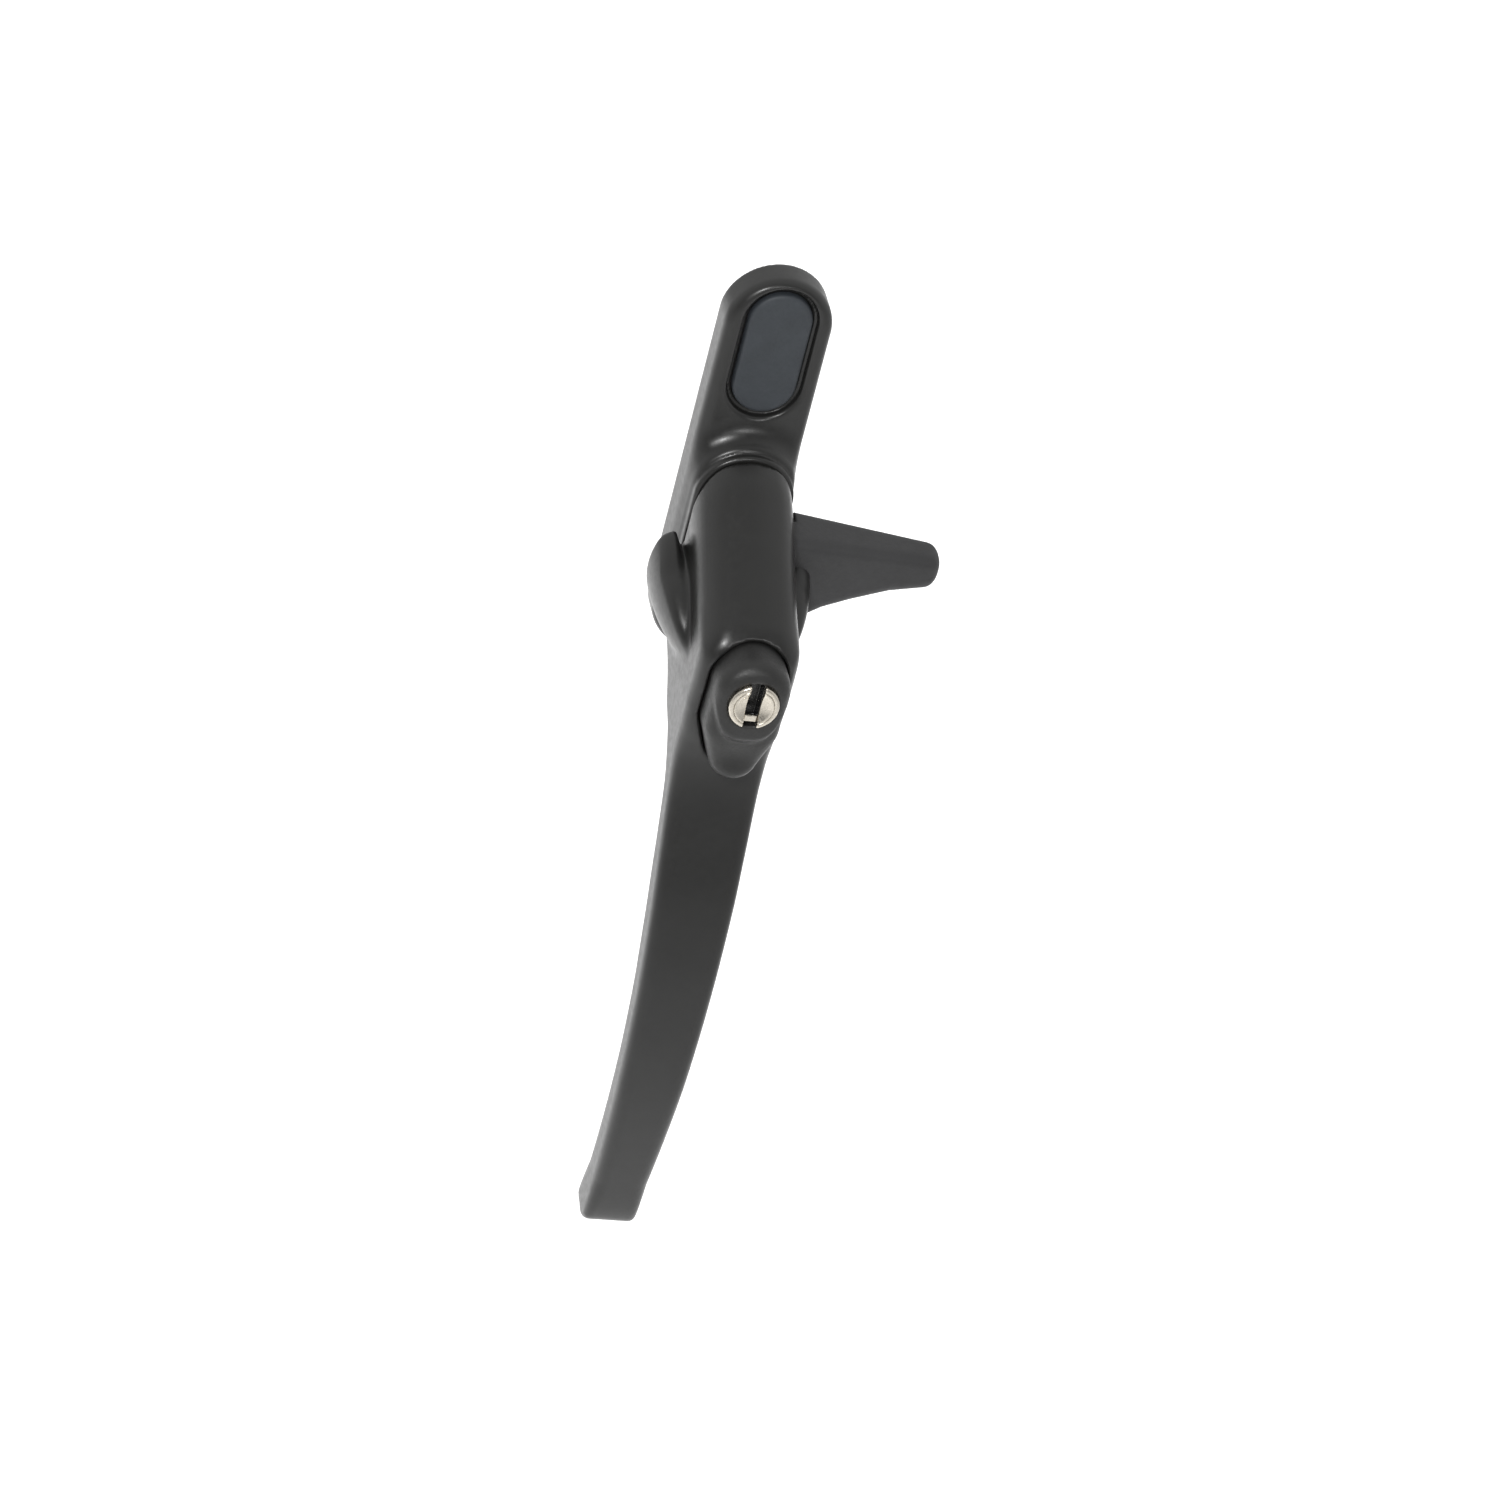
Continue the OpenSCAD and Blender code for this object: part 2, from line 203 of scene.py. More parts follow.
def settle(field, points, step, rounds=3):
    """Moves vertices onto the true surface along the field's gradient."""
    for _ in range(rounds):
        slope = gradient(field, points)
        move = -field(points.T)[:, None] * slope / np.maximum((slope ** 2).sum(1), 0.05)[:, None]
        length = np.maximum(np.linalg.norm(move, axis=1), 1e-9)
        points = points + move * np.minimum(1, step / length)[:, None]
    return points


def place(points):
    """Flat frame in millimetres to row frame in metres."""
    return np.stack([points[:, 0] * MM, -points[:, 2] * MM, points[:, 1] * MM + PIVOT], 1)


def build(name, field, low, high, step):
    """A smooth mesh object from a field, in the row frame."""
    low = np.array(low, float) - 2 * step
    high = np.array(high, float) + 2 * step
    vertices, quads = surface_net(sample(field, low, high, step))
    points = settle(field, low + vertices * step, step * 0.5)
    mesh = bpy.data.meshes.new(name)
    mesh.from_pydata(place(points).tolist(), [], quads.tolist())
    mesh.validate()
    mesh.shade_smooth()
    piece = bpy.data.objects.new(name, mesh)
    bpy.context.scene.collection.objects.link(piece)
    return piece


# ---------------------------------------------------------------- materials
def material(name, color, roughness, metallic=0.0):
    """A new material and its node tree, with the plain values set on the shader's own sockets."""
    made = bpy.data.materials.new(name)
    made.use_nodes = True
    shader = made.node_tree.nodes["Principled BSDF"]
    shader.inputs["Base Color"].default_value = (*color, 1)
    shader.inputs["Roughness"].default_value = roughness
    shader.inputs["Metallic"].default_value = metallic
    return made, made.node_tree, shader


def noise(tree, scale, detail=3.0, rough=0.55):
    """A noise texture on the object's own coordinates; scale is in cells per metre."""
    where = tree.nodes.new("ShaderNodeTexCoord")
    made = tree.nodes.new("ShaderNodeTexNoise")
    made.inputs["Scale"].default_value = scale
    made.inputs["Detail"].default_value = detail
    made.inputs["Roughness"].default_value = rough
    tree.links.new(where.outputs["Object"], made.inputs["Vector"])
    return made.outputs["Fac"]


def spread(tree, value, low, high, start=0.3, end=0.7):
    """Maps a noise value onto a range."""
    made = tree.nodes.new("ShaderNodeMapRange")
    made.inputs["From Min"].default_value = start
    made.inputs["From Max"].default_value = end
    made.inputs["To Min"].default_value = low
    made.inputs["To Max"].default_value = high
    tree.links.new(value, made.inputs["Value"])
    return made.outputs["Result"]


def tint(tree, shader, value, dark, light):
    """Base colour from dark to light along a value from 0 to 1."""
    made = tree.nodes.new("ShaderNodeMix")
    made.data_type = "RGBA"
    made.inputs["A"].default_value = (*dark, 1)
    made.inputs["B"].default_value = (*light, 1)
    tree.links.new(value, made.inputs["Factor"])
    tree.links.new(made.outputs["Result"], shader.inputs["Base Color"])


def bump(tree, shader, layers):
    """Stacks bumps; each layer is a height value and its depth in metres."""
    last = None
    for height, depth in layers:
        made = tree.nodes.new("ShaderNodeBump")
        made.inputs["Distance"].default_value = depth
        tree.links.new(height, made.inputs["Height"])
        if last is not None:
            tree.links.new(last, made.inputs["Normal"])
        last = made.outputs["Normal"]
    tree.links.new(last, shader.inputs["Normal"])


def powder_coat(name, color, roughness, grain):
    """Satin paint on a casting: a fine orange peel, cloudy sheen and slightly uneven colour."""
    made, tree, shader = material(name, color, roughness)
    cloud = noise(tree, 90, 4)
    light = tuple(1.25 * c for c in color)
    tint(tree, shader, spread(tree, cloud, 0, 1), color, light)
    sheen = spread(tree, noise(tree, 900, 3), roughness - 0.04, roughness + 0.05)
    tree.links.new(sheen, shader.inputs["Roughness"])
    bump(tree, shader, [(noise(tree, 2200, 2), grain), (noise(tree, 320, 3), grain * 2)])
    return made


def moulding(name, color, roughness, grain, cells=3500):
    """Moulded plastic with a fine spark texture."""
    made, tree, shader = material(name, color, roughness)
    light = tuple(1.3 * c for c in color)
    tint(tree, shader, spread(tree, noise(tree, 160, 4), 0, 1), color, light)
    sheen = spread(tree, noise(tree, 1500, 3), roughness - 0.05, roughness + 0.08)
    tree.links.new(sheen, shader.inputs["Roughness"])
    bump(tree, shader, [(noise(tree, cells, 4, 0.7), grain)])
    return made


def plated(name, color, roughness, painted_shade_below=None):
    """Plated or turned metal, with faint stains; if a height in mm is given, painted shade below it: dull and
    dark, for the shade deep in the key slot.
    """
    made, tree, shader = material(name, color, roughness, metallic=1.0)
    dull = tuple(0.8 * c for c in color)
    tint(tree, shader, spread(tree, noise(tree, 700, 5), 0, 1), dull, color)
    sheen = spread(tree, noise(tree, 2500, 4), roughness * 0.7, roughness * 1.5)
    tree.links.new(sheen, shader.inputs["Roughness"])
    bump(tree, shader, [(noise(tree, 4000, 3), 0.00001)])
    if painted_shade_below is not None:
        # painted shade: below the height the colour turns near black and the metal stops being metallic
        where = tree.nodes.new("ShaderNodeTexCoord")
        split = tree.nodes.new("ShaderNodeSeparateXYZ")
        tree.links.new(where.outputs["Object"], split.inputs[0])
        unshaded_mask = spread(tree, split.outputs["Y"], 1, 0, -painted_shade_below * MM - 0.0003, -painted_shade_below * MM)
        mix = tree.nodes.new("ShaderNodeMix")
        mix.data_type = "RGBA"
        mix.inputs["A"].default_value = (0.012, 0.012, 0.012, 1)
        tree.links.new(shader.inputs["Base Color"].links[0].from_socket, mix.inputs["B"])
        tree.links.new(unshaded_mask, mix.inputs["Factor"])
        tree.links.new(mix.outputs["Result"], shader.inputs["Base Color"])
        tree.links.new(unshaded_mask, shader.inputs["Metallic"])
    return made


paint = powder_coat("satin_black_paint", (0.0135, 0.0135, 0.013), 0.32, 0.000005)
nose_paint = powder_coat("matt_black_nose", (0.026, 0.026, 0.027), 0.55, 0.00003)
cap_plastic = moulding("grey_cap_plastic", (0.028, 0.033, 0.039), 0.55, 0.00002)
button_plastic = moulding("black_button_plastic", (0.0135, 0.0135, 0.013), 0.42, 0.00005, 2600)
nickel = plated("nickel_plate", (0.72, 0.67, 0.58), 0.22)
# the lock's rim and plug: painted shade below 1.3 mm under the plug's face, deep in the key slot
nickel_with_slot_shade = plated("nickel_plug", (0.72, 0.67, 0.58), 0.25, PLUG_FACE - 1.3)
steel = plated("zinc_plated_steel", (0.60, 0.61, 0.63), 0.35)
brass = plated("plain_brass", (0.78, 0.58, 0.28), 0.3)
nylon = moulding("natural_nylon", (0.80, 0.79, 0.72), 0.5, 0.00002)


# ---------------------------------------------------------------- base plate and cap
CAP_Y = (cap_low[1] + cap_high[1]) / 2
CAP_R = cap_high[0]
CAP_HALF = (cap_high[1] - cap_low[1]) / 2 - CAP_R
CAP_GAP = 0.95                                  # the groove round the cap
CAP_STEP = 5.6                                  # the groove's floor
TOP_Y = plate_high[1] - PLATE_R
LOW_Y = plate_low[1] + PLATE_R
HOLE_HALF = 29.0                                # half of the fixing holes' pitch
HOLES_Y = [-PIVOT / MM - side * HOLE_HALF for side in (-1, 1)]
FIXING_R = 2.25
HEAD_R = 4.2                                    # the countersink's
HEAD_FLOOR = PLATE_T - 3
SPINDLE_R = spindle_high[0]
RECESS_R, RECESS_H = 8.0, 4.0                   # the spindle's washers lie in it, on the plate's back
PIN_HOLE_R, PIN_HOLE_FLOOR = 1.8, 5.0
COLLAR_Y, COLLAR_H = 14.6, 10.7                  # the collar, which sweeps up from the plate
RING_R = 9.3                                    # the shallow ring on it, under the casting


def plate_field(p):
    x, y, z = p
    wall = oval(p, LOW_Y, TOP_Y, PLATE_R)
    sweep = ramp(y, -8, 0, 1.2, 5.4)            # small at the foot, where the turned nose passes
    top = smax(smin(z - PLATE_T, oval(p, 0, COLLAR_Y, PLATE_R), sweep), z - COLLAR_H, 1.0)
    body = smax(wall, top, 2.4)
    ring = smax(oval(p, 0, COLLAR_Y, RING_R), z - BOSS_H, 0.7)
    body = np.minimum(body, ring)
    body = smax(body, -z, 0.3)
    recess = np.maximum(oval((x, y - CAP_Y), -CAP_HALF, CAP_HALF, CAP_R + CAP_GAP), CAP_STEP - z)
    snug = np.maximum(oval((x, y - CAP_Y), -CAP_HALF, CAP_HALF, CAP_R + 0.05), cap_low[2] - z)
    body = cut(cut(body, recess, 1.0), snug, 0.4)
    for hole_y in HOLES_Y:
        body = cut(body, disc(p, 0, hole_y, FIXING_R), 0.3)
    sink = np.maximum(disc(p, 0, HOLES_Y[1], HEAD_R) - (z - PLATE_T), HEAD_FLOOR - z)
    body = cut(body, sink, 0.3)
    body = cut(body, disc(p, 0, 0, SPINDLE_R + 0.05), 0.2)
    body = cut(body, np.maximum(disc(p, 0, 0, RECESS_R), z - RECESS_H), 0.3)
    for hx, hy in ((0, PIN_Y), (PIN_Y, 0)):
        body = cut(body, np.maximum(disc(p, hx, hy, PIN_HOLE_R), PIN_HOLE_FLOOR - z), 0.2)
    return body


def cap_field(p):
    x, y, z = p
    wall = oval((x, y - CAP_Y), -CAP_HALF, CAP_HALF, CAP_R)
    top = z - cap_high[2] - 0.25 * np.clip(-wall / CAP_R, 0, 1)
    body = smax(smax(wall, top, 0.9), cap_low[2] - z, 0.2)
    return cut(body, np.maximum(disc(p, 0, HOLES_Y[0], HEAD_R), z - CAP_STEP), 0.2)


# ---------------------------------------------------------------- turning casting
# its outline from the side, (y, z): up the front ridge, over the lock, along the lever's face to
# the tip, and back along the underside
SIDE = [(24.6, 9.0), (23.3, 12.4), (21.7, 16), (19.1, 20), (16.1, 24.3), (12.9, 29), (9.9, 33.5),
        (7.3, 37.4), (5.3, 40.2), (3.1, 42.0), (0, 42.9), (-5, 42.9), (-10, 42.3), (-16, 41.6),
        (-20.5, 40.7), (-25, 40.4), (-31.8, 41.4), (-41.3, 43.9), (-51, 46.6), (-61.3, 48.6),
        (-71, 49.9), (-82, 50.6), (-94, 50.5), (-107, 49.2), (-118, 47.5), (-126, 45.9),
        (-128.9, 44.2), (-130.1, 40.8), (-129.7, 37.3), (-126.8, 35.7), (-114, 38.4), (-100, 40.7),
        (-88, 41.8), (-76, 41.6), (-66.6, 40.4), (-57, 38.9), (-49, 37.0), (-41, 35.0), (-33, 32.1),
        (-28, 28.7), (-24, 24.5), (-20, 20.9), (-17, 17.1), (-15.4, 13), (-14.6, 9)]
# its half width along y
WIDTH_Y = [-130, -118, -92, -70, -51, -30, -12, 30]
WIDTH = [5.1, 5.25, 6.35, 7.1, 7.8, 8.45, 9.25, 9.25]
# how far its side edges are rounded, and the height below which they are rounder, along y
EDGE_Y = [-130, -118, -100, -40, -20, 5]
EDGE = [1.4, 2.8, 2.8, 2.6, 3.4, 5.0]
MIDDLE_Y = [-130, -107, -88, -70, -51, -33, -24, -14, 30]
MIDDLE = [41, 44.5, 46, 44.8, 40.5, 37, 31, 8, 8]


def outline(points, rounds=10):
    """A smooth closed curve through the points."""
    p1 = np.array(points, float)
    p0, p2, p3 = np.roll(p1, 1, 0), np.roll(p1, -1, 0), np.roll(p1, -2, 0)
    t = (np.arange(rounds) / rounds)[None, :, None]
    a, b, c, d = (q[:, None, :] for q in (p0, p1, p2, p3))
    curve = b + 0.5 * t * (c - a + t * (2 * a - 5 * b + 4 * c - d + t * (3 * (b - c) + d - a)))
    return curve.reshape(-1, 2)


class Profile:
    """Signed distance to a closed curve in a plane, kept on a grid and read smoothly."""

    def __init__(self, points, margin=6.0, step=0.4):
        curve = outline(points)
        self.low = curve.min(0) - margin
        self.step = step
        count = np.ceil((curve.max(0) + margin - self.low) / step).astype(int) + 1
        u, v = np.meshgrid(*[np.arange(n) for n in count], indexing="ij")
        where = self.low + np.stack([u, v], -1).reshape(-1, 2) * step
        start, end = curve, np.roll(curve, -1, 0)
        along = end - start
        values = np.empty(len(where))
        for part in np.array_split(np.arange(len(where)), 40):
            gap = where[part][:, None, :] - start[None]
            t = np.clip((gap * along).sum(-1) / (along ** 2).sum(-1), 0, 1)
            near = np.sqrt(((gap - t[..., None] * along) ** 2).sum(-1).min(1))
            y, z = where[part][:, :1], where[part][:, 1:]
            straddle = (start[:, 1] > z) != (end[:, 1] > z)
            rise = np.where(along[:, 1] == 0, 1, along[:, 1])
            left = y < start[:, 0] + along[:, 0] * (z - start[:, 1]) / rise
            values[part] = np.where((straddle & left).sum(1) % 2, -near, near)
        self.grid = values.reshape(count)

    def __call__(self, y, z):
        out, weights = 0, []
        cells = []
        for axis, value in enumerate((y, z)):
            g = (value - self.low[axis]) / self.step
            i = np.clip(np.floor(g).astype(int), 1, self.grid.shape[axis] - 3)
            t = np.clip(g - i, 0, 1)
            cells.append(i)
            weights.append([0.5 * t * (-1 + t * (2 - t)), 1 + t * t * (1.5 * t - 2.5),
                            0.5 * t * (1 + t * (4 - 3 * t)), 0.5 * t * t * (t - 1)])
        for a in range(4):
            for b in range(4):
                out = out + weights[0][a] * weights[1][b] * self.grid[cells[0] + a - 1, cells[1] + b - 1]
        return out


side = Profile(SIDE)
EAR_R = 14.9
EAR_Y = 4.2                                     # the ears' front, above the pivot
EAR_TOP = 26.5                                  # how far above the underside the ears would close
BOW_R = 9.75                                    # half width that the neck's bowed front spans
POCKET_GAP = 0.15                               # between the button and the casting
PIN_BORE_R, PIN_BORE_TOP = 1.75, 24.5


def bar_field(p):
    """Neck and lever in one: the side outline, with the front bowed and the edges rounded."""
    x, y, z = p
    rise = np.clip((z - UNDER) / (40 - UNDER), 0, 1)
    drop = 9.2 - 5.6 * rise
    bow = drop * (1 - np.sqrt(np.clip(1 - (x / BOW_R) ** 2, 0.02, 1)))
    front = ramp(y, -4, 5, 0, 1)
    body = side(y + bow * front, z)
    flank = np.abs(x) - np.interp(y, WIDTH_Y, WIDTH)
    under = ramp(np.interp(y, MIDDLE_Y, MIDDLE) - z, -1, 2, 0, 1)
    edge = np.interp(y, EDGE_Y, EDGE)
    return smax(body, flank, edge + 1.2 * under)


def ear_field(p):
    """The rounded ears of the hub, which lean back and close in a point beside the lock."""
    x, y, z = p
    rise = z - UNDER
    r = EAR_R * np.sqrt(np.clip(1 - (rise / EAR_TOP) ** 2, 0.01, 1))
    wall = np.hypot(x, y + 0.12 * np.maximum(rise, 0)) - r
    tip = 3.2 * ramp(np.abs(x), 9.4, 11.6, 0, 1) * ramp(rise, 1, 9, 1, 0)
    front = y - (EAR_Y + tip - 0.034 * np.maximum(rise - 4, 0) ** 2)
    return smax(wall, front, 2.6) * 0.7


def latch_way(p, x0, x1, drop=0.0):
    """The slot that the side latch lies in; drop is how far the latch goes down with the button."""
    x, y, z = p
    ends = np.maximum(np.maximum(x0 - x, x - x1), np.abs(y - LOCK_Y) - latch_high[1] + LOCK_Y - 0.1)
    return np.maximum(ends, np.maximum(latch_low[2] - drop - 0.1 - z, z - latch_high[2] - 0.1))


def casting_field(p):
    x, y, z = p
    body = smin(bar_field(p), ear_field(p), 0.9)
    body = smax(body, UNDER - z, 0.5)
    floor_z = ramp(y, -23, -15, 26.2, 24)        # higher at the thumb end, where the casting is thin
    pocket = np.maximum(thumb_plan(p) - POCKET_GAP, floor_z - z)
    body = cut(body, pocket, 0.9)
    body = cut(body, np.maximum(disc(p, 0, 0, SPINDLE_R), z - spindle_high[2]), 0.2)
    body = cut(body, np.maximum(disc(p, 0, PIN_Y, PIN_BORE_R), z - PIN_BORE_TOP), 0.2)
    return cut(body, latch_way(p, latch_low[0] - 0.1, LATCH_WALL_X, TRAVEL + 0.2), 0.2)


# ---------------------------------------------------------------- nose
NOSE_X = [9, 11.5, 15, 18, 23, 30, nose_high[0]]
NOSE_LOW_Y = [-9.5, -8.3, -6.1, -4.2, -2.2, 0.1, 1.5]       # its lower edge, at those x


def nose_field(p):
    x, y, z = p
    reach = nose_high[0]
    back = nose_low[2]
    t = (x - NOSE_X[0]) / (reach - NOSE_X[0])
    draft = (1.5 - 0.5 * t) * np.clip((z - back - 0.5) / 8, 0, 1)
    upper = (y - (12.2 - 3.8 * t) + draft) * 0.98
    lower = (np.interp(x, NOSE_X, NOSE_LOW_Y) - y) * 0.88
    face = z - (back + 9.2 - 2.4 * t)
    rear = back + 0.8 * t - z
    body = smax(smax(upper, lower, 2.4), smax(face, rear, 2.0), 2.0)
    body = smax(smax(body, x - reach, 2.6), 8.0 - x, 0.5)
    return cut(body, np.maximum(oval(p, 0, COLLAR_Y, PLATE_R + 0.35), z - UNDER), 0.3)


# ---------------------------------------------------------------- lock
BUTTON_R = button_high[0]
OVAL_TOP = button_high[1] - BUTTON_R
OVAL_MID = -11.5                                # below this the button narrows
THUMB_R = 4.6
THUMB_Y = button_low[1] + THUMB_R
BARREL_R = PLUG_R + 0.95
BUTTON_FACE = button_high[2]
CAM_R = 2.8                                     # the plug's foot, clear of the drawn-in latch
LATCH_WALL_X = -6.3                             # inside the pocket's left wall
TRAVEL = 5.0                                    # the button's
SLOT_HALF_W, SLOT_HALF_L, SLOT_DEEP = 1.27, 4.8, 3.6
WAFER_Y = LOCK_Y - 2.8


def thumb_plan(p):
    """The button's plan: an oval that narrows to its thumb end."""
    drop = OVAL_MID - THUMB_Y
    lean = (BUTTON_R - THUMB_R) / drop
    run = math.sqrt(1 - lean * lean)
    u, v = np.abs(p[0]), OVAL_MID - p[1]
    along = run * v - lean * u
    flank = run * u + lean * v - BUTTON_R
    lower = np.where(along > run * drop, np.hypot(u, v - drop) - THUMB_R, flank)
    return np.where(along > 0, lower, oval(p, OVAL_MID, OVAL_TOP, BUTTON_R))


def button_field(p):
    x, y, z = p
    wall = thumb_plan(p)
    ledge = y + 12.6 - 0.05 * x ** 2 - 0.0025 * x ** 4
    scoop = ramp(ledge, 0.6, -1.4, 0, 1.0) + 1.0 * np.exp(-((y + 17.6) / 3.6) ** 2 - (x / 4.2) ** 2)
    face = (z - (BUTTON_FACE + 0.3 - scoop)) * 0.9
    body = smax(smax(wall, face, 3.2), button_low[2] - z, 0.5)
    body = cut(body, disc(p, 0, LOCK_Y, BARREL_R), 0.25)
    return cut(body, latch_way(p, -20, 0), 0.1)


def key_slot(p):
    """The key's slot, across the plug and the rim."""
    plan = np.maximum(np.abs(p[0]) - SLOT_HALF_W, np.abs(p[1] - LOCK_Y) - SLOT_HALF_L)
    return np.maximum(plan, PLUG_FACE - SLOT_DEEP - p[2])


def dish(p):
    """The ball that the plug's face is hollowed with."""
    x, y, z = p
    return np.sqrt(x * x + (y - LOCK_Y) ** 2 + (z - PLUG_FACE - 5.4) ** 2) - 6.35


def barrel_field(p):
    x, y, z = p
    r = disc(p, 0, LOCK_Y, 0)
    body = smax(smax(r - BARREL_R + 0.02, z - PLUG_FACE, 0.5), barrel_low[2] + 2 - z, 0.2)
    body = cut(body, np.maximum(r - PLUG_R - 0.01, plug_low[2] - z), 0.05)
    body = cut(body, latch_way(p, -20, 0), 0.1)
    return cut(body, key_slot(p), 0.2)


def plug_field(p):
    x, y, z = p
    r = disc(p, 0, LOCK_Y, 0)
    body = smax(smax(r - PLUG_R + 0.01, z - PLUG_FACE, 0.05), plug_low[2] - z, 0.2)
    body = cut(body, dish(p), 0.15)
    body = cut(body, np.maximum(CAM_R - r, z - latch_high[2] - 0.1), 0.1)
    return cut(body, key_slot(p), 0.2)


def wafer_field(p):
    """The first wafer, which shows in the key slot."""
    x, y, z = p
    bar = np.maximum(np.abs(x) - 1.2, np.abs(y - WAFER_Y) - 0.65)
    return smax(bar, np.abs(z - PLUG_FACE + 1.1) - 0.3, 0.2)


# ---------------------------------------------------------------- pieces
def wound(name, low, high, wire, turns, sides=8, steps=24):
    """A compression spring that stands on the box's floor, in the row frame."""
    mean = (high[0] - low[0]) / 2 - wire
    middle = (low + high) / 2
    last = turns * steps
    points = []
    for i in range(last + 1):
        turn = 2 * math.pi * i / steps
        rise = low[2] + wire + (high[2] - low[2] - 2 * wire) * i / last
        for k in range(sides):
            angle = 2 * math.pi * k / sides
            r = mean + wire * math.cos(angle)
            points.append((middle[0] + r * math.cos(turn), middle[1] + r * math.sin(turn),
                           rise + wire * math.sin(angle)))
    faces = [(i * sides + k, i * sides + (k + 1) % sides,
              (i + 1) * sides + (k + 1) % sides, (i + 1) * sides + k)
             for i in range(last) for k in range(sides)]
    faces += [tuple(range(sides))[::-1], tuple(last * sides + k for k in range(sides))]
    mesh = bpy.data.meshes.new(name)
    mesh.from_pydata(place(np.array(points)).tolist(), [], faces)
    mesh.validate()
    mesh.shade_smooth()
    made = bpy.data.objects.new(name, mesh)
    bpy.context.scene.collection.objects.link(made)
    return made


piece = build("plate_casting", plate_field, plate_low, plate_high, 0.4)
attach(piece, "base")
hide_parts("base_plate")
piece.data.materials.append(paint)

piece = build("screw_cap", cap_field, cap_low, cap_high + 0.3, 0.3)
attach(piece, "base")
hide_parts("cover_cap")
piece.data.materials.append(cap_plastic)

low = np.minimum(casting_low, [-15, 0, 0])
high = np.maximum(casting_high, [15, 0, 0])
piece = build("turning_casting", casting_field, low, high, 0.45)
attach(piece, "handle")
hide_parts("handle_casting")
piece.data.materials.append(paint)

piece = build("nose_spur", nose_field, nose_low, nose_high, 0.35)
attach(piece, "handle")
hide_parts("nose")
piece.data.materials.append(nose_paint)

piece = build("button_shell", button_field, button_low, button_high, 0.35)
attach(piece, "lock")
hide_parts("lock_button")
piece.data.materials.append(button_plastic)

for name, field, body, node, step in (("barrel_rim", barrel_field, "lock", "lock_barrel", 0.2),
                                      ("plug_face", plug_field, "plug", "key_plug", 0.17)):
    piece = build(name, field, *node_box(node), step)
    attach(piece, body)
    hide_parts(node)
    piece.data.materials.append(nickel_with_slot_shade)

low = [-1.4, LOCK_Y - 3.8, PLUG_FACE - 1.6]
high = [1.4, LOCK_Y - 1.9, PLUG_FACE - 0.6]
piece = build("top_wafer", wafer_field, low, high, 0.1)
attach(piece, "plug")
piece.data.materials.append(nickel)

piece = wound("button_spring", coil_low, coil_high, 0.3, 5)
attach(piece, "handle")
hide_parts("return_spring")
piece.data.materials.append(steel)
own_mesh(piece)

# the CAD nodes that no piece replaces take the same finishes
FINISHES = {"nickel": nickel, "steel": steel, "brass": brass, "nylon": nylon, "casting_black": paint,
            "cap_grey": cap_plastic, "button_black": button_plastic, "nose_black": nose_paint}
for row in frame["record"]["subparts"]:
    node = frame["nodes"][row["node"]]
    node.data.materials.clear()
    node.data.materials.append(FINISHES[row["material_slot"]])


# ---------------------------------------------------------------- floor, light and camera
def floor():
    """A plain pale square well below the handle."""
    mesh = bpy.data.meshes.new("floor")
    reach = 8.0
    level = cad_box[0][2] - 0.4
    corners = ((-reach, -reach), (reach, -reach), (reach, reach), (-reach, reach))
    mesh.from_pydata([(x, y, level) for x, y in corners], [], [(0, 1, 2, 3)])
    made = bpy.data.objects.new("floor", mesh)
    bpy.context.scene.collection.objects.link(made)
    mesh.materials.append(material("pale_floor", (0.93, 0.93, 0.93), 0.9)[0])


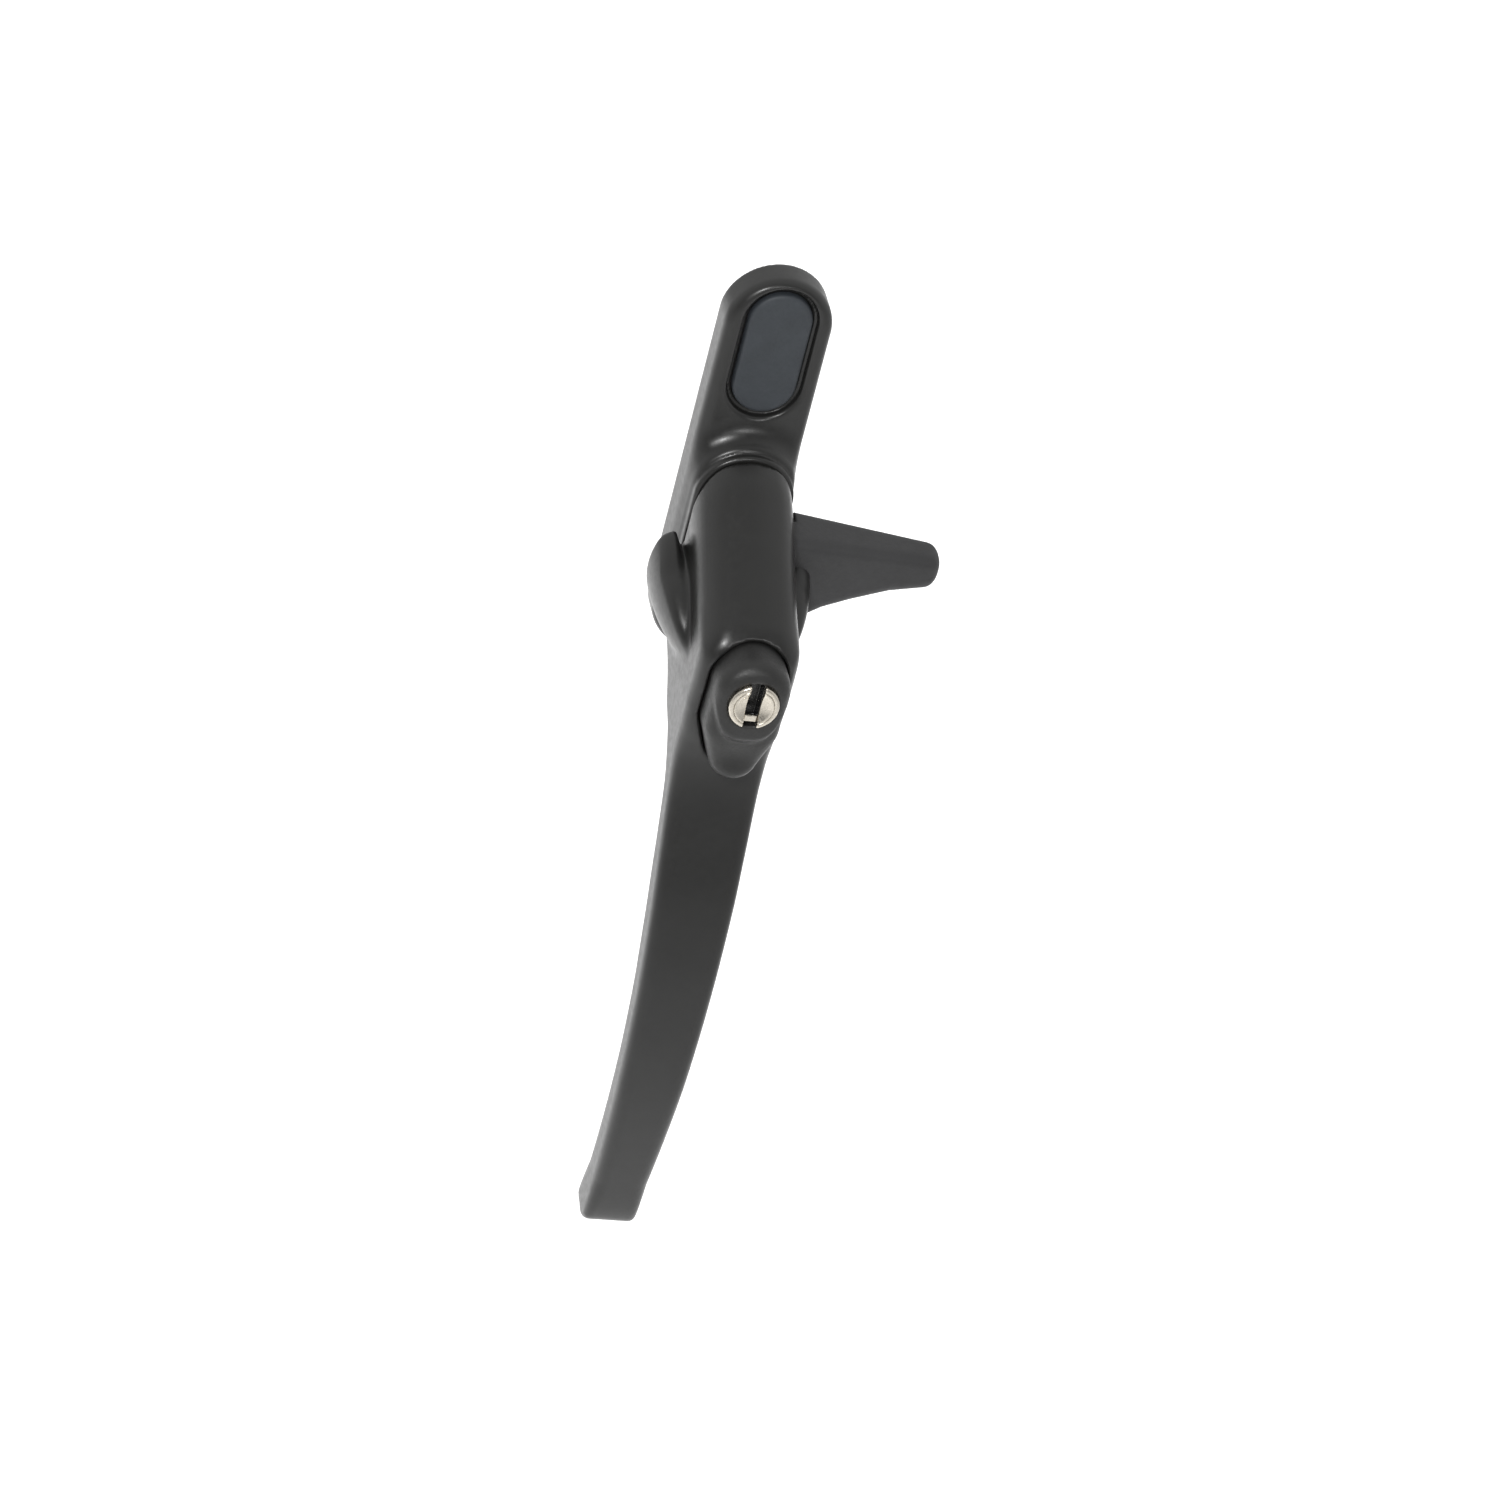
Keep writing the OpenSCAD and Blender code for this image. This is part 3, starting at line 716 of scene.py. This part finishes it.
def softbox(name, direction, distance, size, power, aim=(0, -0.02, -0.05)):
    """A round area lamp that lies in a direction from its aim, and faces it."""
    data = bpy.data.lights.new(name, "AREA")
    data.shape = "DISK"
    data.size = size
    data.energy = power
    lamp = bpy.data.objects.new(name, data)
    spot = Vector(direction).normalized()
    lamp.location = Vector(aim) + spot * distance
    lamp.rotation_euler = spot.to_track_quat("Z", "Y").to_euler()
    bpy.context.scene.collection.objects.link(lamp)


def sky():
    """An even white studio whose front, where the camera stands, is dim."""
    world = bpy.data.worlds.new("studio")
    world.use_nodes = True
    tree = world.node_tree
    where = tree.nodes.new("ShaderNodeTexCoord")
    ahead = tree.nodes.new("ShaderNodeVectorMath")
    ahead.operation = "DOT_PRODUCT"
    ahead.inputs[1].default_value = (-0.25, -0.93, 0.25)
    tree.links.new(where.outputs["Generated"], ahead.inputs[0])
    fade = tree.nodes.new("ShaderNodeMapRange")
    fade.interpolation_type = "SMOOTHSTEP"
    fade.inputs["From Min"].default_value = 0.1
    fade.inputs["From Max"].default_value = 0.85
    fade.inputs["To Min"].default_value = 0.8
    fade.inputs["To Max"].default_value = 0.2
    tree.links.new(ahead.outputs["Value"], fade.inputs["Value"])
    tree.nodes["Background"].inputs["Color"].default_value = (1, 1, 1, 1)
    tree.links.new(fade.outputs["Result"], tree.nodes["Background"].inputs["Strength"])
    bpy.context.scene.world = world


def camera():
    """The viewpoint: a long lens, from the left and above, rolled so that the plate leans right."""
    data = bpy.data.cameras.new("camera")
    data.lens = 169.5
    azimuth, elevation, roll = math.radians(-17.92), math.radians(33.96), math.radians(15.04)
    distance = 1.304
    aim = Vector((0.0109, -0.02, -0.0473))
    spot = Vector((math.sin(azimuth) * math.cos(elevation), -math.cos(azimuth) * math.cos(elevation),
                   math.sin(elevation)))
    made = bpy.data.objects.new("camera", data)
    turn = spot.to_track_quat("Z", "Y").to_matrix().to_4x4() @ Matrix.Rotation(roll, 4, "Z")
    made.matrix_world = Matrix.Translation(aim + spot * distance) @ turn
    bpy.context.scene.collection.objects.link(made)
    bpy.context.scene.camera = made


floor()
sky()
softbox("front_light", (-0.38, -0.67, 0.64), 1.5, 0.26, 12)
softbox("rim_light", (0.12, -0.88, 0.42), 1.5, 0.16, 3)
softbox("floor_light", (0, 0, 1), 0, 2.4, 15, aim=(0.0, 0.92, -0.2))
camera()
bpy.context.scene.view_settings.view_transform = "Standard"
